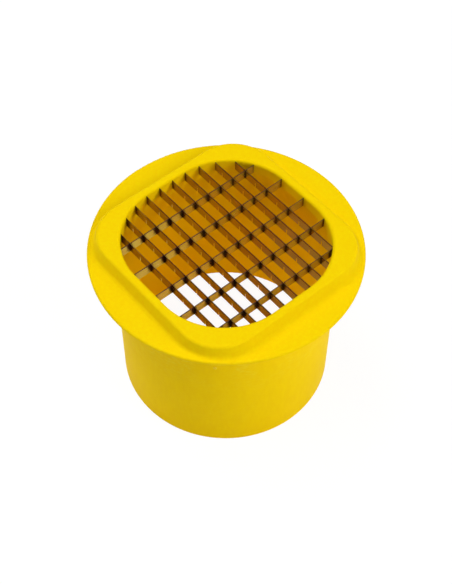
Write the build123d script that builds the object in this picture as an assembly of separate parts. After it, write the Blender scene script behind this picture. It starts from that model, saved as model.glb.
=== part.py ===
from build123d import *
import math
import os

# A push-through French fry cutter. A moulded plastic body has a round skirt to stand on, a wide round
# flange to hold, and a raised rounded-square head. The head's opening carries a grid of thin steel
# strips, and a retainer ring, snapped into the skirt from below, holds the strips up in their slots.
#
# Millimetres, +Z up. The origin is the middle of the bottom rim. Long strips run along Y, cross strips
# along X. The pitch of the strips sets the opening; the opening sets the head above it and the bore and
# skirt below it; the head sets the flange.

# ---- strips ------------------------------------------------------------------------------------------
pitch = 8.0  # from one long strip to the next: the width of a fry
long_count = 10
cross_count = 5
cross_step_count = 2  # places of the same pitch from one cross strip to the next
strip_thickness = 0.5
strip_height = 5.6
strip_recess = 1.2  # head's top to the strips' cutting edges
edge_bevel_height = 0.5
edge_bevel_depth = 0.17  # taken off each side, so the cutting edge is a narrow flat
lap_clearance = 0.05  # on each side of a strip in a slot, and at the bottom of a half lap
seat_depth = 2.0  # how far a strip's end reaches into the opening's wall
seat_clearance = 0.1  # past a strip's end, and above it

# ---- opening -----------------------------------------------------------------------------------------
opening_margin = 9.8  # outermost long strip to the opening's wall
opening_corner = 35.0
lip_round = 1.6

# ---- head --------------------------------------------------------------------------------------------
head_rise = 5.8  # top of the flange to the head's flat top
head_land = 4.1  # opening's wall to the edge of the head's top, across the flats
head_slope = 2.8  # how far the sides lean out from top to foot
head_top_corner = 20.8
head_corner_growth = 5.0  # how much larger the corner radius is at the foot
head_edge_round = 1.4
head_foot_fillet = 2.0

# ---- flange ------------------------------------------------------------------------------------------
flange_land = 0.4  # flat left at the head's corners, between its foot fillet and the flange's round rim
flange_thickness = 2.2
flange_round = 1.0
flange_underside = 88.0  # height of its lower face, and so the length of the skirt

# ---- skirt -------------------------------------------------------------------------------------------
bore_ledge = 1.35  # top of the bore to the opening's wall, in the opening's corners
bore_draft = 0.5  # degrees, so that the mould's core pulls out downwards
rim_wall = 1.6  # wall at the bottom rim, where the bore is widest
rim_round = 0.5

# ---- retainer ring -----------------------------------------------------------------------------------
retainer_height = 18.0
retainer_clearance = 0.15  # to the bore, all round
retainer_lip = 0.9  # wall left at its lower edge
retainer_lower_flat = 2.0  # straight stretch on each side of its nearly round lower opening
bead_radius = 0.45
bead_height = 5.0  # above the ring's lower edge
bead_clearance = 0.12

# ---- kept between rounded edges ----------------------------------------------------------------------
edge_share = 0.48  # the most of a wall that one of its two rounded edges may take
same_place = 0.001  # outlines nearer to each other than this are the same outline


def corner_reach(half, corner):
    """From the middle of a rounded square to the outermost point of its corners."""
    return (half - corner) * math.sqrt(2) + corner


# ---- worked out, from the grid outwards --------------------------------------------------------------
flange_top = flange_underside + flange_thickness
head_top = flange_top + head_rise
strip_top = head_top - strip_recess
strip_bottom = strip_top - strip_height
slot_width = strip_thickness + 2 * lap_clearance

opening_half = (long_count - 1) / 2 * pitch + opening_margin
head_top_half = opening_half + head_land
head_foot_half = head_top_half + head_slope
head_foot_corner = head_top_corner + head_corner_growth
side_angle = math.atan2(head_rise, head_slope)
foot_width = head_foot_fillet * math.tan(side_angle / 2)  # of the fillet, on the flange

head_foot_reach = corner_reach(head_foot_half, head_foot_corner)
flange_radius = head_foot_reach + foot_width + flange_land + flange_round
rim_slope = math.tan(math.radians(bore_draft))
bore_top_radius = corner_reach(opening_half, opening_corner) + bore_ledge
bore_bottom_radius = bore_top_radius + strip_bottom * rim_slope
skirt_radius = bore_bottom_radius + rim_wall

retainer_bottom = strip_bottom - retainer_height
bead_z = retainer_bottom + bead_height


def bore_radius(z):
    """Radius of the skirt's bore at a height: it narrows upwards by the draft."""
    return bore_bottom_radius - z * rim_slope


def rounded_square(half, corner, z):
    """A square face with rounded corners, level at a height."""
    return Plane.XY.offset(z) * RectangleRounded(2 * half, 2 * half, corner)


def on_outline(edge, z, half):
    """True for an edge that lies level at this height, along a rounded square of this half width."""
    box = edge.bounding_box()
    level = abs(box.min.Z - z) < same_place and abs(box.max.Z - z) < same_place
    farthest = max(abs(box.min.X), abs(box.max.X), abs(box.min.Y), abs(box.max.Y))
    return level and abs(farthest - half) < same_place


def wall_distance(offset):
    """How far the opening's wall is from the middle, along a strip that runs at this offset."""
    straight = opening_half - opening_corner
    past = max(abs(offset) - straight, 0.0)
    return straight + math.sqrt(opening_corner**2 - past**2)


def strip_reach(offset):
    """Half of a strip's length: into its seats, but short enough to go up the bore from below."""
    seated = wall_distance(offset) + seat_depth
    bore = bore_top_radius - retainer_clearance
    in_bore = math.sqrt(bore**2 - (abs(offset) + strip_thickness / 2) ** 2)
    return min(seated, in_bore)


def raster(count):
    """Places of a centred row of this many, one pitch apart."""
    return [(k - (count - 1) / 2) * pitch for k in range(count)]


long_places = raster(long_count)
lap_places = raster(cross_count * cross_step_count)
cross_places = lap_places[::cross_step_count]


def strip(half_length, laps, laps_from_top):
    """A strip along X with a bevelled upper edge and half-lap slots from one of its long edges."""
    middle_z = (strip_top + strip_bottom) / 2
    blank = Pos(0, 0, middle_z) * Box(2 * half_length, strip_thickness, strip_height)
    upper = blank.edges().filter_by(Axis.X).group_by(Axis.Z)[-1]
    top_face = blank.faces().sort_by(Axis.Z)[-1]
    blank = chamfer(upper, edge_bevel_depth, edge_bevel_height, reference=top_face)
    lap_depth = strip_height / 2 + lap_clearance
    lap_z = strip_top - lap_depth / 2 if laps_from_top else strip_bottom + lap_depth / 2
    slot = Box(slot_width, 2 * strip_thickness, lap_depth)
    for place in laps:
        if abs(place) < half_length - strip_thickness:
            blank -= Pos(place, 0, lap_z) * slot
    return blank


def make_long_strip(x):
    """Runs along Y. Its slots open downwards at every place, used or not."""
    return Pos(x, 0, 0) * Rot(0, 0, 90) * strip(strip_reach(x), lap_places, False)


def make_cross_strip(y):
    """Runs along X. Its slots open upwards under each long strip."""
    return Pos(0, y, 0) * strip(strip_reach(y), long_places, True)


def seat_cut(half_length):
    """The slot for one strip along X: open below, closed just above the strip."""
    height = strip_height + seat_clearance
    length = 2 * (half_length + seat_clearance)
    return Pos(0, 0, strip_bottom + height / 2) * Box(length, slot_width, height)


def make_flange():
    """Round plate with both edges of its rim rounded."""
    plate = Pos(0, 0, flange_underside) * extrude(Circle(flange_radius), flange_thickness)
    rim = plate.edges().filter_by(GeomType.CIRCLE)
    return fillet(rim, min(flange_round, edge_share * flange_thickness))


def make_head():
    """Solid rounded square that leans inwards from its foot to its top."""
    foot = rounded_square(head_foot_half, head_foot_corner, flange_top)
    top = rounded_square(head_top_half, head_top_corner, head_top)
    return loft([foot, top], ruled=True)


def make_body():
    """Skirt, flange and head in one moulding, with the bore, the opening and the strips' seats."""
    body = extrude(Circle(skirt_radius), flange_top) + make_flange() + make_head()
    foot_edges = body.edges().filter_by(lambda e: on_outline(e, flange_top, head_foot_half))
    body = fillet(foot_edges, head_foot_fillet)
    top_edges = body.edges().filter_by(lambda e: on_outline(e, head_top, head_top_half))
    body = fillet(top_edges, head_edge_round)

    body -= Pos(0, 0, strip_bottom / 2) * Cone(bore_bottom_radius, bore_top_radius, strip_bottom)
    above_bore = head_top - strip_bottom
    body -= extrude(rounded_square(opening_half, opening_corner, strip_bottom), 2 * above_bore)
    lip_edges = body.edges().filter_by(lambda e: on_outline(e, head_top, opening_half))
    body = fillet(lip_edges, min(lip_round, edge_share * head_land))
    rim_edges = body.edges().filter_by(GeomType.CIRCLE).group_by(Axis.Z)[0]
    body = fillet(rim_edges, min(rim_round, edge_share * rim_wall))

    groove = Torus(bore_radius(bead_z) - retainer_clearance, bead_radius + bead_clearance)
    body -= Pos(0, 0, bead_z) * groove
    for x in long_places:
        body -= Pos(x, 0, 0) * Rot(0, 0, 90) * seat_cut(strip_reach(x))
    for y in cross_places:
        body -= Pos(0, y, 0) * seat_cut(strip_reach(y))
    return body


def make_retainer():
    """Ring under the strips: its opening grows from the head's rounded square to nearly the bore."""
    outer_bottom = bore_radius(retainer_bottom) - retainer_clearance
    outer_top = bore_top_radius - retainer_clearance
    middle_z = (retainer_bottom + strip_bottom) / 2
    ring = Pos(0, 0, middle_z) * Cone(outer_bottom, outer_top, retainer_height)
    ring += Pos(0, 0, bead_z) * Torus(bore_radius(bead_z) - retainer_clearance, bead_radius)
    lower_half = outer_bottom - retainer_lip
    lower = rounded_square(lower_half, lower_half - retainer_lower_flat / 2, retainer_bottom)
    upper = rounded_square(opening_half, opening_corner, strip_bottom)
    return ring - loft([lower, upper], ruled=True)


def save(shape, node):
    os.makedirs("parts", exist_ok=True)
    export_step(shape, f"parts/{node}.step")
    print(node, "volume", round(shape.volume, 1))


save(make_body(), "body")
save(make_retainer(), "blade_retainer")
for number, x in enumerate(long_places, 1):
    save(make_long_strip(x), f"long_blade_{number:02d}")
for number, y in enumerate(reversed(cross_places), 1):
    save(make_cross_strip(y), f"cross_blade_{number}")
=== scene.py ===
# %% [markdown]
# # A push-through French fry cutter
#
# A cook pushes a peeled potato down through a grid of thin steel strips, and the fries fall out of the
# round skirt below. The whole holder is one yellow moulding: a raised rounded-square head around the
# grid, a wide flange for the fingers, and a skirt to stand on. This lesson takes the finished CAD model
# as a fixed frame and gives it what CAD leaves out: the finish of each surface, the small marks that
# moulding and grinding leave, and a plain studio to look at it in.
#
# ## Load the model
#
# The CAD pieces arrive as ordinary Blender meshes in metres. They stay exactly where they are, because
# other tools rely on their size and place.

import math

import bpy
from mathutils import Matrix, Vector


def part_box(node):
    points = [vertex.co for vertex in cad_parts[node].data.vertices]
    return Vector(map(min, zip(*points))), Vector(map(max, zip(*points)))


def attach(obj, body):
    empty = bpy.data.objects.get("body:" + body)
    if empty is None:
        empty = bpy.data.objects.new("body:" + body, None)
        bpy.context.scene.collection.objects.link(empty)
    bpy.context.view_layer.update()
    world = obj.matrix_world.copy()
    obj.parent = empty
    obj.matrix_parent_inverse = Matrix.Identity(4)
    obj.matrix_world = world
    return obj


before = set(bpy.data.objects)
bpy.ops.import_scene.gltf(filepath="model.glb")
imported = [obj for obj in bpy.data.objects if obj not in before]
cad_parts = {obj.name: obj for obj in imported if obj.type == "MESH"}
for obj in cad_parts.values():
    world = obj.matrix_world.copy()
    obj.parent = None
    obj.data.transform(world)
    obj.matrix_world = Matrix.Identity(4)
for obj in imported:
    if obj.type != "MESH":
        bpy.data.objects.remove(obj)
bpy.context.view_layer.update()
bpy.ops.object.select_all(action="DESELECT")
print("CAD pieces:", ", ".join(sorted(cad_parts)))

# %% [markdown]
# ## Sizes that the looks depend on
#
# A finish that changes from place to place needs to know where the places are: the ground edge of a strip
# is at its top, and scuffs sit under the flange. These heights could be typed in, but a typed number goes
# wrong the day somebody changes the model. They are read from the pieces instead.

# %% Read heights and radii from the pieces
mm = 0.001
head_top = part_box("body")[1][2]
strip_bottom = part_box("long_blade_05")[0][2]
strip_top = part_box("long_blade_05")[1][2]
body_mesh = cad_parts["body"].data
skirt_radius = max(v.co.xy.length for v in body_mesh.vertices if v.co.z < 0.5 * head_top)
print("head top", round(head_top / mm, 1), "mm")
print("strips from", round(strip_bottom / mm, 1), "to", round(strip_top / mm, 1), "mm")
print("skirt radius", round(skirt_radius / mm, 2), "mm")

# %% [markdown]
# ## Helpers for node trees
#
# A procedural material is a small network. Each node could be added and wired in four or five lines, and
# a material would then take a page. The first helper adds a node and wires its inputs in one call: an
# input is either a plain value or another node's output. The others are short names for nodes that come
# back often.


# %% Helper: add a node and wire it
def wire(tree, kind, inputs=None, **settings):
    """Adds a node, sets its settings, and gives each named or numbered input a value or a link."""
    made = tree.nodes.new(kind)
    for name, value in settings.items():
        setattr(made, name, value)
    for name, value in (inputs or {}).items():
        if isinstance(value, bpy.types.NodeSocket):
            tree.links.new(value, made.inputs[name])
        else:
            made.inputs[name].default_value = value
    return made


def empty_material(name):
    """A new material without nodes, and its tree."""
    material = bpy.data.materials.new(name)
    material.use_nodes = True
    material.node_tree.nodes.clear()
    return material, material.node_tree


print("helper for nodes ready")


# %% Helpers: numbers
def maths(tree, operation, first, second=0.0):
    """The output of a Math node."""
    return wire(tree, "ShaderNodeMath", {0: first, 1: second}, operation=operation).outputs[0]


def times(tree, first, second):
    """One number times another."""
    return maths(tree, "MULTIPLY", first, second)


def remap(tree, value, low, high, to_low=0.0, to_high=1.0, kind="LINEAR"):
    """The output of a Map Range node, clamped to its ends."""
    inputs = {"Value": value, "From Min": low, "From Max": high, "To Min": to_low, "To Max": to_high}
    return wire(tree, "ShaderNodeMapRange", inputs, interpolation_type=kind).outputs["Result"]


print("helpers for numbers ready")


# %% Helpers: places, directions and patterns
def part_of(tree, vector, part):
    """One part of a vector, by its letter or number."""
    return wire(tree, "ShaderNodeSeparateXYZ", {"Vector": vector}).outputs[part]


def vectors(tree, operation, *inputs):
    """A Vector Math node."""
    return wire(tree, "ShaderNodeVectorMath", dict(enumerate(inputs)), operation=operation)


def stretched(tree, place, sizes):
    """Coordinates that count in these sizes along X, Y and Z, so that a pattern can be long one way."""
    scale = [1 / size for size in sizes]
    return wire(tree, "ShaderNodeMapping", {"Vector": place, "Scale": scale}).outputs["Vector"]


def noise(tree, place, scale=1.0, detail=2.0, roughness=0.5):
    """The grey output of a Noise Texture, with its scale in cycles per unit of the coordinates."""
    inputs = {"Vector": place, "Scale": scale, "Detail": detail, "Roughness": roughness}
    return wire(tree, "ShaderNodeTexNoise", inputs).outputs["Fac"]


print("helpers for patterns ready")


# %% Helpers: colours and surfaces
def blend(tree, share, first, second):
    """A colour between two colours."""
    made = wire(tree, "ShaderNodeMix", {"Factor": share}, data_type="RGBA")
    for socket, value in (("A_Color", first), ("B_Color", second)):
        target = next(s for s in made.inputs if s.identifier == socket)
        if isinstance(value, bpy.types.NodeSocket):
            tree.links.new(value, target)
        else:
            target.default_value = value
    return next(s for s in made.outputs if s.identifier == "Result_Color")


def bumped(tree, height, strength, depth, **under):
    """The normal of a Bump node, on top of another normal if that is given as Normal."""
    inputs = {"Strength": strength, "Distance": depth, "Height": height, **under}
    return wire(tree, "ShaderNodeBump", inputs).outputs["Normal"]


def show_skin(tree, inputs):
    """A Principled BSDF with these inputs, as the surface of the material."""
    skin = wire(tree, "ShaderNodeBsdfPrincipled", inputs)
    wire(tree, "ShaderNodeOutputMaterial", {"Surface": skin.outputs["BSDF"]})


print("helpers for surfaces ready")

# %% [markdown]
# ## The yellow plastic
#
# The moulding is a dense, slightly waxy plastic with a satin skin. Several things make it look moulded
# and not painted: a very fine grain from the spark-eroded mould, a slow unevenness of the skin as the
# plastic shrinks, flecks and upright streaks of a slightly deeper yellow, and edges that handling has
# rubbed a little smoother and paler. All that lies below the strips, and every wall that looks inwards,
# gets a deeper, more orange tone, and the bore a lighter and warmer one. These tones are painted shade and
# painted bounce light: they stand for light that has gone through the plastic several times. The outside
# of the skirt shows its flow lines more, and hands have left short pale scuffs under the flange. All of it
# could be an image, but an image has seams and one resolution. Noise on the object's own coordinates has
# neither, and it is tied to real sizes.

# %% Colours of the plastic
yellow = (0.935, 0.668, 0.002, 1.0)
yellow_thin = (0.935, 0.69, 0.003, 1.0)
# The next two colours are painted light: a deeper tone for painted shade, and a lighter, warmer one for
# painted bounce light in the bore.
yellow_painted_shade_tone = (0.975, 0.672, 0.001, 1.0)
yellow_painted_bore_glow = (0.998, 0.75, 0.001, 1.0)
yellow_worn = (0.94, 0.71, 0.03, 1.0)
yellow_scar = (0.99, 0.80, 0.07, 1.0)
yellow_scuffed = (0.995, 0.82, 0.06, 1.0)
flow_line = (0.90, 0.56, 0.002, 1.0)
speck = (0.915, 0.597, 0.002, 1.0)
gloss_tint = (1.0, 0.75, 0.05, 1.0)
print("plain yellow", yellow[:3])

# %% [markdown]
# Each kind of mark has a size in millimetres, a share that says how strongly it shows, and a range. Noise
# swings between about 0.2 and 0.8, and the range says at which level a mark starts and where it is full.

# %% Sizes, ranges and shares of the marks
grain_size = 0.55 * mm
fleck_size = 1.8 * mm
ripple_size = 7.0 * mm
blotch_size = 30.0 * mm
streak_size = (0.9 * mm, 0.9 * mm, 25.0 * mm)
flow_size = (2.2 * mm, 2.2 * mm, 7.0 * mm)
scuff_size = (3.2 * mm, 3.2 * mm, 1.2 * mm)

even_range = (0.35, 0.65)
wide_range = (0.3, 0.7)
blotch_range = (0.35, 0.7)
streak_range = (0.4, 0.7)
scuff_range = (0.46, 0.66)
patch_range = (0.42, 0.58)

fleck_share = 0.45
streak_share = 0.35
flow_share = 0.26
scuff_shares = (0.05, 0.45)
print("marks from", round(grain_size / mm, 2), "to", round(blotch_size / mm, 2), "mm")


# %% Patterns of the plastic
def plastic_patterns(tree, place):
    """One noise for each kind of mark."""
    return {
        "grain": noise(tree, place, 1 / grain_size, detail=3.0, roughness=0.6),
        "fleck": noise(tree, place, 1 / fleck_size),
        "ripple": noise(tree, place, 1 / ripple_size, detail=1.0),
        "blotch": noise(tree, place, 1 / blotch_size, detail=4.0, roughness=0.6),
        "streak": noise(tree, stretched(tree, place, streak_size)),
        "flow": noise(tree, stretched(tree, place, flow_size), detail=3.0, roughness=0.6),
        "scuff": noise(tree, stretched(tree, place, scuff_size), detail=4.0, roughness=0.6),
    }


print("patterns ready")

# %% [markdown]
# ### Where the tones and marks sit
#
# One material serves the whole moulding, so it has to find its own places. Height tells what lies below
# the strips. The normal tells whether a wall looks inwards: it then points against the direction from the
# axis. What is below and doesn't look inwards is the outside of the skirt, and hands reach its upper
# part.

# %% Places on the moulding
deep_fade = 1.0 * mm
inwards_range = (-0.2, -0.6)
hands_from = 0.5 * strip_bottom
hands_full = 0.7 * strip_bottom
hands_least = 0.15


def plastic_places(tree, place, normal):
    """From 0 to 1: below the strips, looking inwards, on the skirt's outside, and where hands reach."""
    height = part_of(tree, place, "Z")
    below = remap(tree, height, strip_bottom + deep_fade, strip_bottom - deep_fade)
    level_place = vectors(tree, "MULTIPLY", place, (1.0, 1.0, 0.0)).outputs["Vector"]
    outwards = vectors(tree, "NORMALIZE", level_place).outputs["Vector"]
    facing_out = vectors(tree, "DOT_PRODUCT", normal, outwards).outputs["Value"]
    inside = remap(tree, facing_out, *inwards_range)
    side = times(tree, below, maths(tree, "SUBTRACT", 1.0, inside))
    handled = remap(tree, height, hands_from, hands_full, hands_least, 1.0)
    return below, inside, side, handled


print("hands reach from", round(hands_from / mm, 1), "mm up")

# %% Tone of the plastic
painted_shade_share = 0.85


def plastic_tone(tree, marks, below, inside, side, handled):
    """The colour before wear: flecks and streaks all over, painted shade and bounce light on the deeper
    walls, and the marks on the skirt.
    """
    tone = blend(tree, remap(tree, marks["blotch"], *blotch_range), yellow, yellow_thin)
    tone = blend(tree, remap(tree, marks["fleck"], *even_range, 0.0, fleck_share), tone, speck)
    tone = blend(tree, remap(tree, marks["streak"], *streak_range, 0.0, streak_share), tone, speck)
    # Painted shade and painted bounce light: a deeper tone below the strips and on inward walls, and a
    # lighter, warmer one in the bore.
    deep = times(tree, maths(tree, "MAXIMUM", below, inside), painted_shade_share)
    tone = blend(tree, deep, tone, yellow_painted_shade_tone)
    tone = blend(tree, times(tree, below, inside), tone, yellow_painted_bore_glow)
    flow = remap(tree, marks["flow"], *even_range, 0.0, flow_share)
    tone = blend(tree, times(tree, side, flow), tone, flow_line)
    patches = remap(tree, marks["blotch"], *patch_range, *scuff_shares)
    scuffs = times(tree, remap(tree, marks["scuff"], *scuff_range), patches)
    scuffs = times(tree, scuffs, times(tree, side, handled))
    return blend(tree, scuffs, tone, yellow_scuffed)


print("tone ready, deep walls take", painted_shade_share, "of the deeper yellow")

# %% [markdown]
# ### The skin
#
# The Bevel node gives the normal that a rounded edge would have. Where it differs from the true normal,
# there is an edge, and that is where handling rubs. The skin is satin and hardly glossy: a dense yellow
# plastic gives back little white light.

# %% Skin of the plastic
edge_width = 0.9 * mm
edge_range = (0.995, 0.90)
edge_patches = (0.2, 1.0)
worn_share = 0.35
satin_rough = (0.42, 0.54)
rubbed_smoother = 0.08
ripple_bump = (0.25, 0.4 * mm)
grain_bump = (0.3, 0.05 * mm)


def moulded_plastic(name, scar=0.0):
    """Satin yellow plastic. The scar pales all of it."""
    material, tree = empty_material(name)
    place = wire(tree, "ShaderNodeTexCoord").outputs["Object"]
    normal = wire(tree, "ShaderNodeNewGeometry").outputs["Normal"]
    marks = plastic_patterns(tree, place)
    tone = plastic_tone(tree, marks, *plastic_places(tree, place, normal))

    rounded = wire(tree, "ShaderNodeBevel", {"Radius": edge_width}, samples=6).outputs["Normal"]
    same = vectors(tree, "DOT_PRODUCT", rounded, normal).outputs["Value"]
    rubbed = remap(tree, same, *edge_range)
    rubbed = times(tree, rubbed, remap(tree, marks["ripple"], *even_range, *edge_patches))
    colour = blend(tree, times(tree, rubbed, worn_share), tone, yellow_worn)
    colour = blend(tree, scar, colour, yellow_scar)

    rough = remap(tree, marks["grain"], *wide_range, *satin_rough)
    rough = maths(tree, "SUBTRACT", rough, times(tree, rubbed, rubbed_smoother))
    ripples = bumped(tree, marks["ripple"], *ripple_bump)
    show_skin(
        tree,
        {
            "Base Color": colour,
            "Roughness": rough,
            "Normal": bumped(tree, marks["grain"], *grain_bump, Normal=ripples),
            "IOR": 1.49,
            "Specular IOR Level": 0.01,
            "Specular Tint": gloss_tint,
        },
    )
    return material


plastic = moulded_plastic("satin_yellow_plastic")
scarred_plastic = moulded_plastic("scarred_yellow_plastic", scar=0.7)
print("made", plastic.name, "and", scarred_plastic.name)

# %% [markdown]
# ## The steel strips
#
# Each strip is sheared from bright rolled stainless. The rolls leave hairlines along the strip, so it
# mirrors softly along its length and sharply across it. The cutting edge is ground afterwards: a thin,
# darker band with scratches straight across. The steel's colours are tinted yellow and brown, as painted
# reflection of the yellow plastic around it. One material could serve all fifteen, but the hairlines
# follow each strip, the ten long ones are painted duller, as painted shade for the dark walls they
# mirror, and the cross strips scatter more of the light, so each direction gets its own.

# %% Colours of the steel
# The yellow and brown in these tints is painted reflection of the yellow plastic.
steel = (0.70, 0.65, 0.27, 1.0)
# Dim end of a painted reflection gradient along the cross strips.
steel_dim_reflection_tint = (0.62, 0.49, 0.06, 1.0)
steel_ground = (0.24, 0.15, 0.09, 1.0)
# The long strips' two tints are darker: painted shade for the dark walls they mirror.
steel_painted_dull_shade = (0.485, 0.35, 0.12, 1.0)
steel_painted_dull_shade_ground = (0.46, 0.33, 0.13, 1.0)
# Painted shade at the crossings.
steel_painted_crossing_shade = (0.13, 0.08, 0.04, 1.0)
# Painted dark reflection in one corner of each cell.
steel_painted_dark_reflection = (0.11, 0.06, 0.04, 1.0)
steel_sheared = (0.85, 0.74, 0.42, 1.0)
print("cross strips from", steel[:3], "to", steel_dim_reflection_tint[:3])


# %% Helper: a number between two numbers
def mix(tree, share, first, second):
    """The output of a Mix node for numbers."""
    return wire(tree, "ShaderNodeMix", {"Factor": share, "A": first, "B": second}).outputs["Result"]


print("helper for mixed numbers ready")

# %% Sizes of the steel's texture
hairline_width = 0.12 * mm
hairline_length = 14.0 * mm
grind_width = 0.10 * mm
ground_band = 0.30 * mm
ground_full = 0.8 * ground_band
film_size = 9.0 * mm
film_range = (0.5, 0.8)
film_rough = (0.0, 0.08)
rolled_rough = (0.15, 0.25)
ground_rough = (0.22, 0.38)
line_bump = (0.12, 0.01 * mm)


def strip_texture(tree, place, along, ground):
    """Roughness and normal: hairlines along the strip, and scratches across it on its ground band."""
    line_sizes = [hairline_width] * 3
    line_sizes[along] = hairline_length
    lines = noise(tree, stretched(tree, place, line_sizes))
    scratch_sizes = [ground_band] * 3
    scratch_sizes[along] = grind_width
    scratches = noise(tree, stretched(tree, place, scratch_sizes))
    film = noise(tree, place, 1 / film_size, detail=3.0)

    rolled = remap(tree, lines, *wide_range, *rolled_rough)
    rolled = maths(tree, "ADD", rolled, remap(tree, film, *film_range, *film_rough))
    rough = mix(tree, ground, rolled, remap(tree, scratches, *wide_range, *ground_rough))
    return rough, bumped(tree, mix(tree, ground, lines, scratches), *line_bump)


print("hairlines", round(hairline_length / mm, 1), "mm long")

# %% [markdown]
# ### Painted shade and reflection on the steel
#
# At every crossing the steel is painted brown: painted shade where two strips meet. In the same corner of
# every cell a wider dark patch is painted, strongest towards -X: a painted dark reflection. Along the grid
# the cross strips are painted bright at -X and yellower and dimmer towards +X: a painted reflection
# gradient. The sheared ends of the strips and of their slots stay bright.
#
# Ambient Occlusion finds the crossings: it is low where a strip stands close. Bending its direction
# towards one corner makes it find that corner only.


# %% Helper: how open a place is
def openness(tree, reach, samples, **leaning):
    """1 in the open, and lower where something stands within reach. Given a Normal, it looks that way."""
    inputs = {"Distance": reach, **leaning}
    return wire(tree, "ShaderNodeAmbientOcclusion", inputs, samples=samples).outputs["AO"]


print("helper for crossings ready")

# %% Tone of the steel
# Painted shade at the crossings.
corner_reach = 1.8 * mm
corner_range = (0.92, 0.58)
# Painted dark reflection patch: its leaning, reach, range, and where it is strongest and weakest along X.
painted_dark_side = (0.9, 0.9, -0.6)
painted_dark_reach = 3.2 * mm
painted_dark_range = (0.40, 0.20)
painted_dark_strong = -15.0 * mm
painted_dark_weak = 30.0 * mm
painted_dark_least = 0.15
# Painted reflection gradient along X.
painted_reflection_from = -36.0 * mm
painted_reflection_full = 6.0 * mm
sheared_range = (0.5, 0.7)


def strip_tone(tree, place, along, ground, tint, dim_reflection_tint, ground_tint):
    """The colour of a strip: its tints with a painted reflection gradient, painted shade at its crossings, a
    painted dark reflection in one corner of each cell, and its bright sheared ends.
    """
    normal = wire(tree, "ShaderNodeNewGeometry").outputs["Normal"]
    across_grid = part_of(tree, place, "X")
    # Painted reflection gradient: bright at -X, dimmer and yellower towards +X.
    colour = blend(tree, remap(tree, across_grid, painted_reflection_from, painted_reflection_full), tint, dim_reflection_tint)
    colour = blend(tree, ground, colour, ground_tint)

    # Painted shade at the crossings.
    corner = openness(tree, corner_reach, samples=8)
    colour = blend(tree, remap(tree, corner, *corner_range), colour, steel_painted_crossing_shade)
    # Painted dark reflection: a wider patch in one corner of each cell, strongest towards -X.
    leaning = vectors(tree, "ADD", normal, painted_dark_side).outputs["Vector"]
    leaning = vectors(tree, "NORMALIZE", leaning).outputs["Vector"]
    painted_dark = openness(tree, painted_dark_reach, samples=16, Normal=leaning)
    strong_side = remap(tree, across_grid, painted_dark_strong, painted_dark_weak, 1.0, painted_dark_least)
    painted_dark_reflection = times(tree, remap(tree, painted_dark, *painted_dark_range), strong_side)
    colour = blend(tree, painted_dark_reflection, colour, steel_painted_dark_reflection)

    lengthwise = maths(tree, "ABSOLUTE", part_of(tree, normal, along))
    return blend(tree, remap(tree, lengthwise, *sheared_range), colour, steel_sheared)


# The reach of the painted dark reflection patch.
print("drops reach", round(painted_dark_reach / mm, 1), "mm")


# %% The two steels
def strip_steel(name, along, tints, mirror_share):
    """Steel of the strips along one axis, 0 for X or 1 for Y. Its tints: bright, the dim end of a painted
    reflection gradient, and ground.
    """
    material, tree = empty_material(name)
    place = wire(tree, "ShaderNodeTexCoord").outputs["Object"]
    height = part_of(tree, place, "Z")
    ground = remap(tree, height, strip_top - ground_band, strip_top - ground_full, kind="SMOOTHSTEP")
    rough, normal = strip_texture(tree, place, along, ground)
    show_skin(
        tree,
        {
            "Base Color": strip_tone(tree, place, along, ground, *tints),
            "Metallic": mirror_share,
            "Roughness": rough,
            "Normal": normal,
            "Specular IOR Level": 0.05,
        },
    )
    return material


# The long strips' tints are painted shade: darker for the dark walls they mirror.
long_tints = (steel_painted_dull_shade, steel_painted_dull_shade, steel_painted_dull_shade_ground)
cross_tints = (steel, steel_dim_reflection_tint, steel_ground)
long_steel = strip_steel("rolled_steel_along_y", 1, long_tints, mirror_share=0.95)
cross_steel = strip_steel("rolled_steel_along_x", 0, cross_tints, mirror_share=0.80)
print("made", long_steel.name, "and", cross_steel.name)

# %% [markdown]
# ## Dress the CAD pieces
#
# Each CAD piece keeps its mesh and only swaps the plain material in its slot. The name of a piece says
# which finish it gets, so a model with more strips would need no change here.


# %% Give each CAD piece its finish
def finish_for(name):
    """The material of a CAD piece, by its name."""
    if name.startswith("long_blade"):
        return long_steel
    if name.startswith("cross_blade"):
        return cross_steel
    return plastic


for name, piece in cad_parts.items():
    for slot in piece.material_slots:
        slot.material = finish_for(name)
print("finished", len(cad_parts), "CAD pieces")

# %% [markdown]
# ## The gate mark
#
# Molten plastic enters the mould through a small gate, and a scar stays where the moulding is broken off
# its runner. On this cutter it sits on the side of the skirt: a low round pad, narrower than a match
# head, with the torn stub of the runner in its middle. A pale spot in the material would do from far off,
# but a torn stub catches light on its own small faces. So it is a disc that is inset, raised and
# roughened, sunk a little way into the skirt, in the paler plastic.

# %% Sizes of the gate mark
mark_bearing = math.radians(-135.7)
mark_height = 66.8 * mm
pad_radius = 0.95 * mm
pad_proud = 0.22 * mm
pad_sunk = 0.30 * mm
pad_edge_round = 0.10 * mm
stub_inset = 0.45 * mm
stub_length = 0.25 * mm
tear_depth = 0.12 * mm
outer_face = 0.99
rim_angle = math.radians(60)
smooth_angle = math.radians(30)
outwards = Vector((math.cos(mark_bearing), math.sin(mark_bearing), 0.0))
pad_middle = skirt_radius + (pad_proud - pad_sunk) / 2
print("gate mark", round(2 * pad_radius / mm, 1), "mm across,", round(mark_height / mm, 1), "mm up")

# %% The pad, sunk into the skirt
bpy.ops.mesh.primitive_cylinder_add(
    vertices=32,
    radius=pad_radius,
    depth=pad_proud + pad_sunk,
    location=pad_middle * outwards + Vector((0.0, 0.0, mark_height)),
    rotation=outwards.to_track_quat("Z", "Y").to_euler(),
)
mark = bpy.context.active_object
mark.name = "gate_mark"
bpy.ops.object.transform_apply(location=True, rotation=True, scale=True)
print("pad with", len(mark.data.polygons), "faces")

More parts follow.
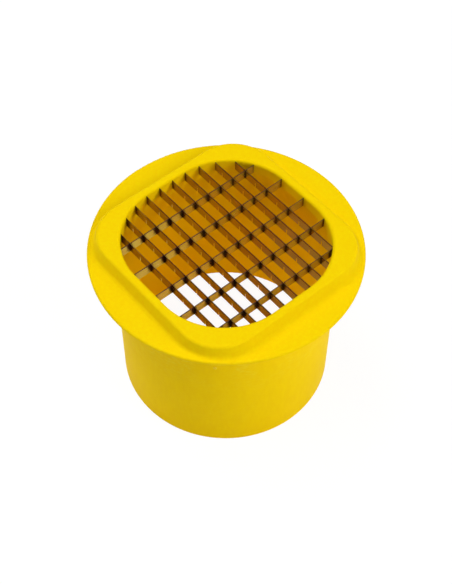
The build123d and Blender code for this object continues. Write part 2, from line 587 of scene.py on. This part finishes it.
# %% The torn stub
bpy.ops.object.mode_set(mode="EDIT")
bpy.ops.mesh.select_all(action="DESELECT")
bpy.ops.object.mode_set(mode="OBJECT")
for face in mark.data.polygons:
    face.select = face.normal.dot(outwards) > outer_face
bpy.ops.object.mode_set(mode="EDIT")
bpy.ops.mesh.inset(thickness=stub_inset)
bpy.ops.mesh.extrude_region_move(TRANSFORM_OT_translate={"value": stub_length * outwards})
bpy.ops.mesh.poke(offset=0.0)
bpy.ops.mesh.subdivide(number_cuts=2)
bpy.ops.transform.vertex_random(offset=tear_depth, seed=4)
bpy.ops.object.mode_set(mode="OBJECT")
print("stub raised,", len(mark.data.polygons), "faces")

# %% Round the pad's edge and finish the piece
rounding = mark.modifiers.new("pad_edge", "BEVEL")
rounding.width = pad_edge_round
rounding.segments = 2
rounding.limit_method = "ANGLE"
rounding.angle_limit = rim_angle
bpy.ops.object.modifier_apply(modifier=rounding.name)
bpy.ops.object.shade_smooth_by_angle(angle=smooth_angle)
mark.data.materials.append(scarred_plastic)
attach(mark, "root")
print("gate mark", len(mark.data.polygons), "faces, size", [round(v / mm, 2) for v in mark.dimensions], "mm")

# %% [markdown]
# ## The studio
#
# A product like this is shown on white. The floor is an ordinary pale surface for the light that falls on
# it, so that it throws light up onto the skirt and keeps a soft shadow. To the camera, and to the mirrors
# of the steel, it adds a glow of its own and so looks almost pure white. The patch inside the skirt is
# different: there the steel mirrors a dim card painted yellow, which is painted bounce light standing for
# the yellow walls around it, and not a white one.

# %% Floor
floor_half = 3.0
floor_gap = 0.02 * mm
floor_white = (0.96, 0.96, 0.96, 1.0)
floor_painted_bounce_yellow = (0.97, 0.95, 0.24, 1.0)
floor_faint = (0.10, 0.10, 0.10, 1.0)
glow_white = (1.0, 1.0, 1.0, 1.0)
floor_glow = 0.93
inner_glow = 0.06
foot_fade = 0.5 * mm
foot_radius = skirt_radius - foot_fade


def floor_paint():
    """White card that glows where it is looked at. Inside the skirt's foot, mirrors see it painted yellow as
    painted bounce light.
    """
    material, tree = empty_material("studio_floor")
    place = wire(tree, "ShaderNodeTexCoord").outputs["Object"]
    away = vectors(tree, "LENGTH", place).outputs["Value"]
    outside = remap(tree, away, foot_radius - foot_fade, foot_radius + foot_fade, inner_glow, 1.0)
    path = wire(tree, "ShaderNodeLightPath").outputs
    mirrored = maths(tree, "MAXIMUM", path["Is Glossy Ray"], path["Is Transmission Ray"])
    seen = maths(tree, "MAXIMUM", path["Is Camera Ray"], times(tree, mirrored, outside))
    # For mirrored rays the card is painted yellow: painted bounce light from the yellow walls around it.
    card = wire(tree, "ShaderNodeBsdfDiffuse", {"Color": blend(tree, mirrored, floor_white, floor_painted_bounce_yellow)})
    faint = wire(tree, "ShaderNodeBsdfDiffuse", {"Color": floor_faint})
    glow = wire(tree, "ShaderNodeEmission", {"Color": glow_white, "Strength": floor_glow})
    shown = wire(tree, "ShaderNodeAddShader", {0: faint.outputs["BSDF"], 1: glow.outputs["Emission"]})
    mixed = wire(tree, "ShaderNodeMixShader", {0: seen, 1: card.outputs["BSDF"], 2: shown.outputs["Shader"]})
    wire(tree, "ShaderNodeOutputMaterial", {"Surface": mixed.outputs["Shader"]})
    return material


bpy.ops.mesh.primitive_plane_add(size=2 * floor_half, location=(0, 0, -floor_gap))
floor = bpy.context.active_object
floor.name = "studio_floor"
floor.data.materials.append(floor_paint())
print("floor", 2 * floor_half, "m wide")

# %% [markdown]
# ## World
#
# The world gives a faint even fill and the white behind everything. Mirrors see it instead of the lamps:
# bright walls near the horizon, and a dark ceiling. A plain white world would be simpler, but steel in it
# has no dark side and looks like paper.

# %% World
fill_strength = 0.03
wall_strength = 1.0
ceiling_strength = 0.03
ceiling_range = (0.15, 0.6)


def studio_world():
    """A faint even fill, walls and a ceiling that only mirrors see, and white behind everything."""
    world = bpy.data.worlds.new("studio_world")
    world.use_nodes = True
    tree = world.node_tree
    tree.nodes.clear()
    direction = wire(tree, "ShaderNodeTexCoord").outputs["Generated"]
    up = part_of(tree, direction, "Z")
    walls = remap(tree, up, *ceiling_range, wall_strength, ceiling_strength, kind="SMOOTHSTEP")
    path = wire(tree, "ShaderNodeLightPath").outputs
    mirrored = maths(tree, "MAXIMUM", path["Is Glossy Ray"], path["Is Transmission Ray"])
    strength = mix(tree, path["Is Camera Ray"], mix(tree, mirrored, fill_strength, walls), 1.0)
    light = wire(tree, "ShaderNodeBackground", {"Color": glow_white, "Strength": strength})
    wire(tree, "ShaderNodeOutputWorld", {"Surface": light.outputs["Background"]})
    return world


bpy.context.scene.world = studio_world()
print("fill", fill_strength)

# %% [markdown]
# ## Softboxes
#
# The light comes from a ring of large softboxes. Two stand high and send light down through the grid,
# which is part of why the bore glows amber: the light bounces from yellow wall to yellow wall, and each
# bounce makes it deeper. The rest of that amber is painted bounce light in the plastic's colour. The key
# light stands in front, to the right, and throws the soft short shadows of the strips' ends on the wall
# behind them. The others only lift the sides. Watts say little about how bright a surface gets, so each
# lamp has a share instead: a lamp with a share of 1 would light a white card that faces it to just white.

# %% Softboxes
softbox_distance = 1.5
softbox_size = 0.9
white_power = math.pi**2 * (softbox_distance**2 + (softbox_size / 2) ** 2)
lamp_aim = Vector((0.0, 0.0, 0.05))
softboxes = {
    "high_back": {"bearing": 95, "height": 61, "share": 0.40},
    "high_left": {"bearing": 180, "height": 75, "share": 0.21},
    "front": {"bearing": 270, "height": 48, "share": 0.06},
    "key": {"bearing": 294, "height": 31, "share": 0.54},
    "left": {"bearing": 150, "height": 35, "share": 0.12},
    "low_left": {"bearing": 135, "height": 8, "share": 0.09},
}


def softbox(name, bearing, height, share):
    """A disc lamp that looks at the cutter. Bearing and height are in degrees, the bearing from +X to +Y."""
    level = math.cos(math.radians(height))
    turn = math.radians(bearing)
    towards = Vector((level * math.cos(turn), level * math.sin(turn), math.sin(math.radians(height))))
    bpy.ops.object.light_add(type="AREA", location=lamp_aim + softbox_distance * towards)
    lamp = bpy.context.active_object
    lamp.name = name
    lamp.data.shape = "DISK"
    lamp.data.size = softbox_size
    lamp.data.energy = share * white_power
    lamp.rotation_euler = towards.to_track_quat("Z", "Y").to_euler()
    lamp.visible_glossy = False


for name, placing in softboxes.items():
    softbox(name, **placing)
print("softboxes:", ", ".join(softboxes))

# %% [markdown]
# Light that enters the bore leaves it only after many bounces. With the usual four, the bore would go
# dark and lose its amber glow, so more are allowed.

# %% Let light bounce inside the bore
cycles = bpy.context.scene.cycles
cycles.max_bounces = 24
cycles.diffuse_bounces = 16
cycles.glossy_bounces = 8
print("diffuse bounces", cycles.diffuse_bounces)

# %% [markdown]
# ## Camera
#
# The camera looks down on the cutter from the front left, from fairly close, so the skirt narrows clearly
# towards its foot. It is placed by where it looks, from which side, how high and how far away.

# %% Camera
view_side = math.radians(-40.54)
view_height = math.radians(53.84)
view_roll = math.radians(0.395)
view_distance = 0.5897
aim = Vector((0.0, 0.0, 0.05328))
focal_length = 72.38
film_height = 36.0

level = math.cos(view_height)
away = Vector((math.sin(view_side) * level, -math.cos(view_side) * level, math.sin(view_height)))
bpy.ops.object.camera_add(location=aim + view_distance * away)
camera = bpy.context.active_object
camera.name = "camera"
looking = away.to_track_quat("Z", "Y").to_matrix() @ Matrix.Rotation(view_roll, 3, "Z")
camera.rotation_euler = looking.to_euler()
camera.data.sensor_fit = "VERTICAL"
camera.data.sensor_height = film_height
camera.data.lens = focal_length
bpy.context.scene.camera = camera
bpy.context.scene.view_settings.view_transform = "Standard"
print("camera at", [round(v, 4) for v in camera.location])
